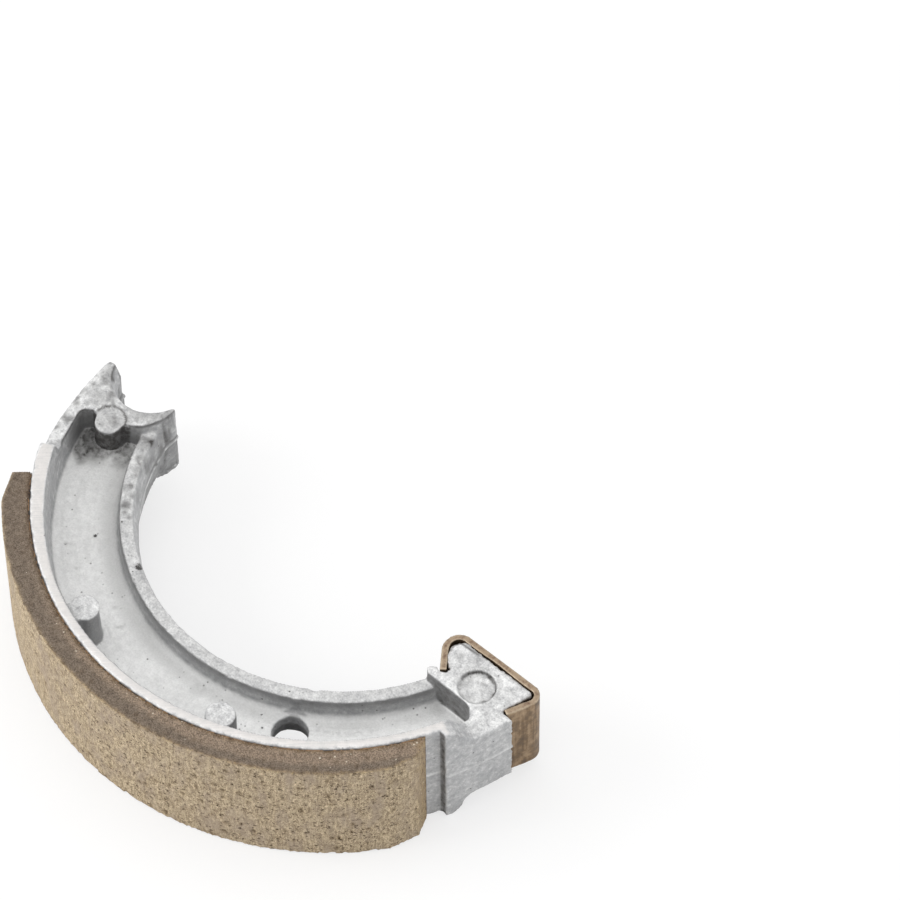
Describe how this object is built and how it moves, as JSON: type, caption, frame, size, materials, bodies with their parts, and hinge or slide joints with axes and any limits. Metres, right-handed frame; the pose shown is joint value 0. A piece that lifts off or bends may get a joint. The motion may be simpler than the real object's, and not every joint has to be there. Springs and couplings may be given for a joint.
{
  "type": "brake shoe",
  "caption": "Curved die-cast drum brake shoe with bonded friction lining, half-round pivot seat, recessed web with a spring hole, and a folded steel clip on the cam end.",
  "frame": {"origin": "on the drum's axis, in the plane of the shoe's lower side face", "axes": "+Z along the drum's axis; +X from the pivot end to the cam end, along the line between the two shoes; the shoe lies towards -Y"},
  "size_m": [0.1002, 0.0528, 0.025],
  "materials": {
    "shoe_casting": "as cast",
    "friction_lining": "ground, gritty",
    "adhesive_film": "matte",
    "cam_clip": "heat-browned, worn"
  },
  "bodies": {
    "root": {"shoe_casting": "shoe_casting", "friction_lining": "friction_lining", "adhesive_film": "adhesive_film", "cam_clip": "cam_clip"}
  },
  "joints": []
}
